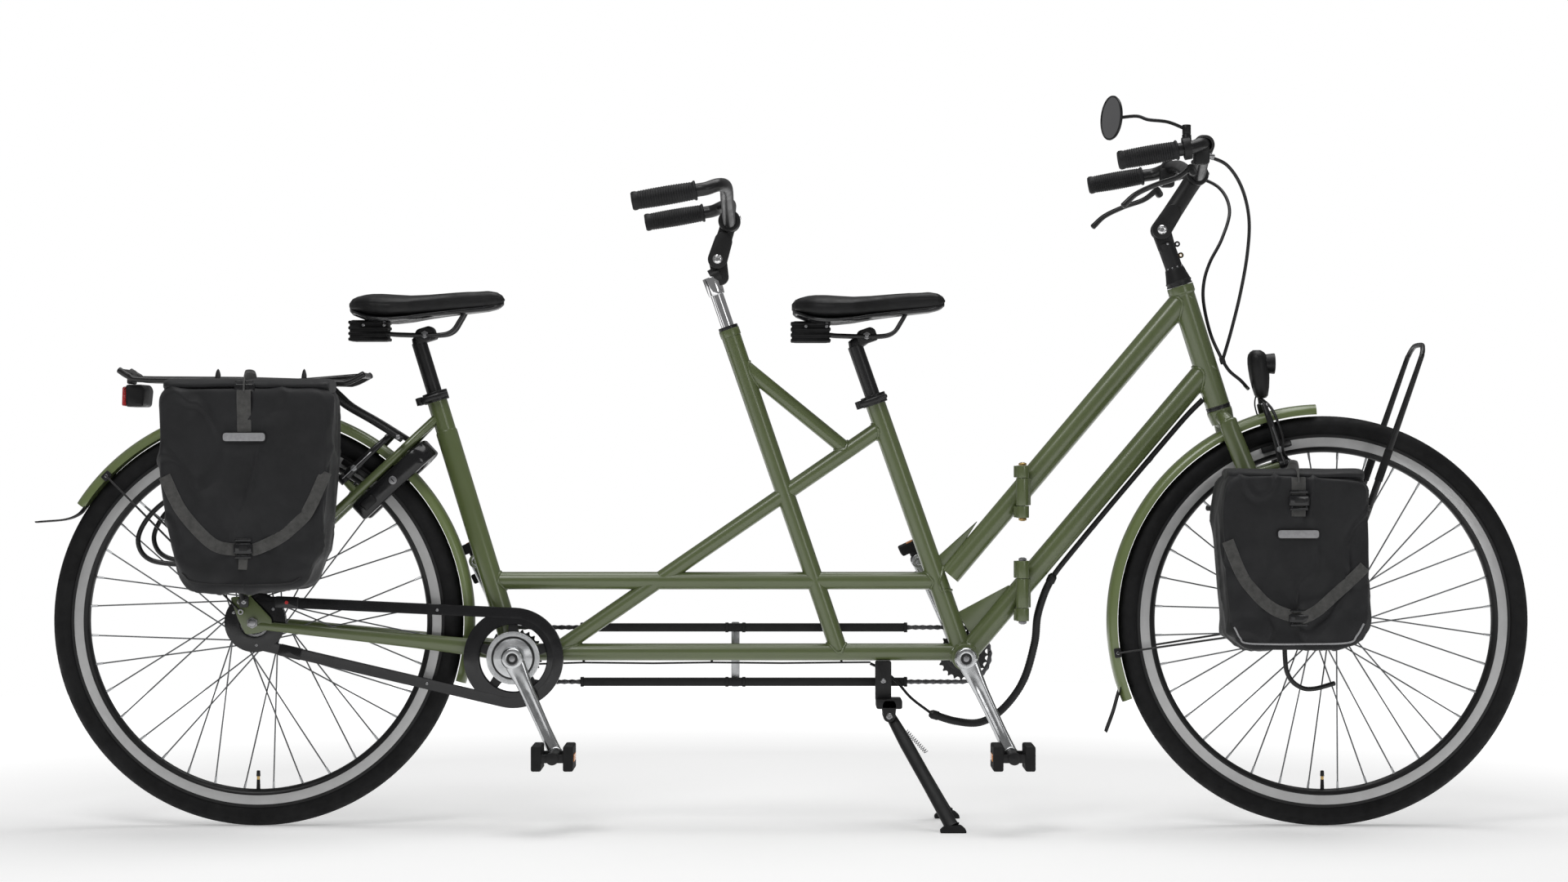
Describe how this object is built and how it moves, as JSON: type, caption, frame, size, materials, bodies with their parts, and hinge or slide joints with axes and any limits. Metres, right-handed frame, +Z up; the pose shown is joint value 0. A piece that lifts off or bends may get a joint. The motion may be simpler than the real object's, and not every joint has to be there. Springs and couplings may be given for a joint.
{
  "type": "tandem bicycle",
  "caption": "Two-seat tandem bicycle with a folding main frame, enclosed chain, adjustable stems, carriers with side bags, stands, brakes, lights and mirror.",
  "frame": {"origin": "on the ground, midway along the overall length, in the plane of the two wheels", "axes": "+X is the riding direction, +Y the bicycle's left side, +Z up; the drive side is at negative Y"},
  "size_m": [2.535, 0.6002, 1.2143],
  "materials": {
    "paint": "semi-matte olive green paint",
    "tyre": "black tyre with a reflective line",
    "rim": "grey brake track over a black well",
    "alloy": "polished alloy",
    "steel": "plain steel",
    "chrome": "bright chrome",
    "black_metal": "black satin coating",
    "plastic": "black moulded plastic",
    "rubber": "matt black rubber",
    "saddle": "black synthetic cover",
    "bag": "coated near-black fabric"
  },
  "bodies": {
    "rear_half": {"rear_frame": "paint", "rear_axle": "steel", "rear_fender": "paint", "rear_rack": "black_metal", "rear_pannier": "bag", "tail_light": "plastic", "chain_guard": "plastic", "drive_chain": "steel", "sync_chain": "steel", "sync_chain_tubes": "plastic", "ring_lock": "plastic", "kickstand_bracket": "black_metal", "seat_collar_captain": "black_metal", "seat_collar_stoker": "black_metal", "hinge_pin_upper": "steel", "hinge_pin_lower": "steel", "fold_conduit": "rubber"},
    "front_half": {"front_frame": "paint"},
    "steering": {"fork": "paint", "front_fender": "paint", "headlamp": "plastic", "front_rack": "black_metal", "front_pannier": "bag", "captain_quill": "black_metal", "control_cables": "rubber"},
    "captain_bars": {"captain_handlebar": "black_metal", "captain_grip_right": "rubber", "captain_grip_left": "rubber"},
    "lever_right": {"brake_lever_right": "black_metal"},
    "lever_left": {"brake_lever_left": "black_metal"},
    "mirror_head": {"mirror": "plastic"},
    "front_wheel": {"front_tyre": "tyre", "front_rim": "rim", "front_hub": "alloy"},
    "rear_wheel": {"rear_tyre": "tyre", "rear_rim": "rim", "rear_hub": "alloy"},
    "sprocket": {"rear_sprocket": "steel"},
    "captain_cranks": {"captain_crank_right": "alloy", "captain_crank_left": "alloy"},
    "stoker_cranks": {"stoker_crank_right": "alloy", "stoker_crank_left": "alloy"},
    "captain_pedal_right": {"pedal_captain_right": "rubber"},
    "captain_pedal_left": {"pedal_captain_left": "rubber"},
    "stoker_pedal_right": {"pedal_stoker_right": "rubber"},
    "stoker_pedal_left": {"pedal_stoker_left": "rubber"},
    "stand": {"kickstand": "black_metal"},
    "hoop": {"front_stand": "black_metal"},
    "front_arm_right": {"front_brake_right": "black_metal"},
    "front_arm_left": {"front_brake_left": "black_metal"},
    "rear_arm_right": {"rear_brake_right": "black_metal"},
    "rear_arm_left": {"rear_brake_left": "black_metal"},
    "captain_seat": {"seatpost_captain": "black_metal", "saddle_captain": "saddle"},
    "stoker_seat": {"seatpost_stoker": "black_metal", "saddle_stoker": "saddle"},
    "captain_qr": {"seat_qr_captain": "black_metal"},
    "stoker_qr": {"seat_qr_stoker": "black_metal"},
    "stoker_stem": {"stoker_post": "chrome"},
    "stoker_bars": {"stoker_handlebar": "black_metal"}
  },
  "joints": [
    {"name": "frame_fold", "type": "hinge", "parent": "rear_half", "child": "front_half", "pos_m": [0.4063, -0.033, 0.5], "axis": [0, 0, 1], "range_deg": [-120, 0], "deforming": ["fold_conduit"]},
    {"name": "steering_turn", "type": "hinge", "parent": "front_half", "child": "steering", "pos_m": [0.741, 0, 0.7115], "axis": [-0.3016, 0, 0.9534], "range_deg": [-45, 45], "deforming": ["control_cables"]},
    {"name": "captain_stem_tilt", "type": "hinge", "parent": "steering", "child": "captain_bars", "pos_m": [0.644, 0, 1.012], "axis": [0, 1, 0], "range_deg": [-30, 30], "deforming": ["control_cables"]},
    {"name": "brake_lever_right_pull", "type": "hinge", "parent": "captain_bars", "child": "lever_right", "pos_m": [0.67, -0.258, 1.108], "axis": [0, 1, 0], "range_deg": [0, 20], "stiffness_Nm_per_rad": 0.6},
    {"name": "brake_lever_left_pull", "type": "hinge", "parent": "captain_bars", "child": "lever_left", "pos_m": [0.67, 0.258, 1.108], "axis": [0, 1, 0], "range_deg": [0, 20], "stiffness_Nm_per_rad": 0.6},
    {"name": "mirror_swivel", "type": "hinge", "parent": "captain_bars", "child": "mirror_head", "pos_m": [0.656, -0.2755, 1.159], "axis": [0, 0, 1], "range_deg": [-40, 40]},
    {"name": "front_wheel_spin", "type": "hinge", "parent": "steering", "child": "front_wheel", "pos_m": [0.919, 0, 0.348], "axis": [0, 1, 0], "continuous": true},
    {"name": "front_stand_fold", "type": "hinge", "parent": "steering", "child": "hoop", "pos_m": [0.919, 0, 0.348], "axis": [0, 1, 0], "range_deg": [0, 158]},
    {"name": "front_brake_right_close", "type": "hinge", "parent": "steering", "child": "front_arm_right", "pos_m": [0.847, -0.04, 0.6146], "axis": [-0.9534, 0, -0.3016], "range_deg": [0, 2.8]},
    {"name": "front_brake_left_close", "type": "hinge", "parent": "steering", "child": "front_arm_left", "pos_m": [0.847, 0.04, 0.6146], "axis": [0.9534, 0, 0.3016], "range_deg": [0, 2.8]},
    {"name": "rear_wheel_spin", "type": "hinge", "parent": "rear_half", "child": "rear_wheel", "pos_m": [-0.89, 0, 0.348], "axis": [0, 1, 0], "continuous": true},
    {"name": "rear_sprocket_spin", "type": "hinge", "parent": "rear_half", "child": "sprocket", "pos_m": [-0.89, 0, 0.348], "axis": [0, 1, 0], "continuous": true},
    {"name": "captain_crank_spin", "type": "hinge", "parent": "rear_half", "child": "captain_cranks", "pos_m": [0.309, 0, 0.2875], "axis": [0, 1, 0], "continuous": true},
    {"name": "stoker_crank_spin", "type": "hinge", "parent": "rear_half", "child": "stoker_cranks", "pos_m": [-0.454, 0, 0.2875], "axis": [0, 1, 0], "continuous": true},
    {"name": "captain_pedal_right_spin", "type": "hinge", "parent": "captain_cranks", "child": "captain_pedal_right", "pos_m": [0.38296, 0, 0.1289], "axis": [0, 1, 0], "continuous": true},
    {"name": "captain_pedal_left_spin", "type": "hinge", "parent": "captain_cranks", "child": "captain_pedal_left", "pos_m": [0.23504, 0, 0.4461], "axis": [0, 1, 0], "continuous": true},
    {"name": "stoker_pedal_right_spin", "type": "hinge", "parent": "stoker_cranks", "child": "stoker_pedal_right", "pos_m": [-0.38004, 0, 0.1289], "axis": [0, 1, 0], "continuous": true},
    {"name": "stoker_pedal_left_spin", "type": "hinge", "parent": "stoker_cranks", "child": "stoker_pedal_left", "pos_m": [-0.52796, 0, 0.4461], "axis": [0, 1, 0], "continuous": true},
    {"name": "kickstand_fold", "type": "hinge", "parent": "rear_half", "child": "stand", "pos_m": [0.181, 0, 0.188], "axis": [0, 1, 0], "range_deg": [0, 105]},
    {"name": "rear_brake_right_close", "type": "hinge", "parent": "rear_half", "child": "rear_arm_right", "pos_m": [-0.742, -0.042, 0.59], "axis": [-0.684, 0, 0.7295], "range_deg": [0, 2.8]},
    {"name": "rear_brake_left_close", "type": "hinge", "parent": "rear_half", "child": "rear_arm_left", "pos_m": [-0.742, 0.042, 0.59], "axis": [0.684, 0, -0.7295], "range_deg": [0, 2.8]},
    {"name": "captain_seat_height", "type": "slide", "parent": "rear_half", "child": "captain_seat", "axis": [-0.3314, 0, 0.9435], "range_m": [-0.04, 0.06]},
    {"name": "stoker_seat_height", "type": "slide", "parent": "rear_half", "child": "stoker_seat", "axis": [-0.2932, 0, 0.9561], "range_m": [-0.04, 0.06]},
    {"name": "captain_seat_release", "type": "hinge", "parent": "rear_half", "child": "captain_qr", "pos_m": [0.13052, -0.0175, 0.71422], "axis": [-0.3314, 0, 0.9435], "range_deg": [-150, 0]},
    {"name": "stoker_seat_release", "type": "hinge", "parent": "rear_half", "child": "stoker_qr", "pos_m": [-0.61493, -0.0175, 0.72022], "axis": [-0.2932, 0, 0.9561], "range_deg": [-150, 0]},
    {"name": "stoker_stem_height", "type": "slide", "parent": "rear_half", "child": "stoker_stem", "axis": [-0.3245, 0, 0.9459], "range_m": [-0.03, 0.06]},
    {"name": "stoker_stem_tilt", "type": "hinge", "parent": "stoker_stem", "child": "stoker_bars", "pos_m": [-0.11, 0, 0.962], "axis": [0, 1, 0], "range_deg": [-30, 30]}
  ],
  "couplings": [
    {"joint": "stoker_crank_spin", "follows": "captain_crank_spin", "ratio": 1},
    {"joint": "rear_sprocket_spin", "follows": "captain_crank_spin", "ratio": 2.1111},
    {"joint": "front_brake_right_close", "follows": "brake_lever_left_pull", "ratio": 0.14},
    {"joint": "front_brake_left_close", "follows": "brake_lever_left_pull", "ratio": 0.14},
    {"joint": "rear_brake_right_close", "follows": "brake_lever_right_pull", "ratio": 0.14},
    {"joint": "rear_brake_left_close", "follows": "brake_lever_right_pull", "ratio": 0.14}
  ]
}
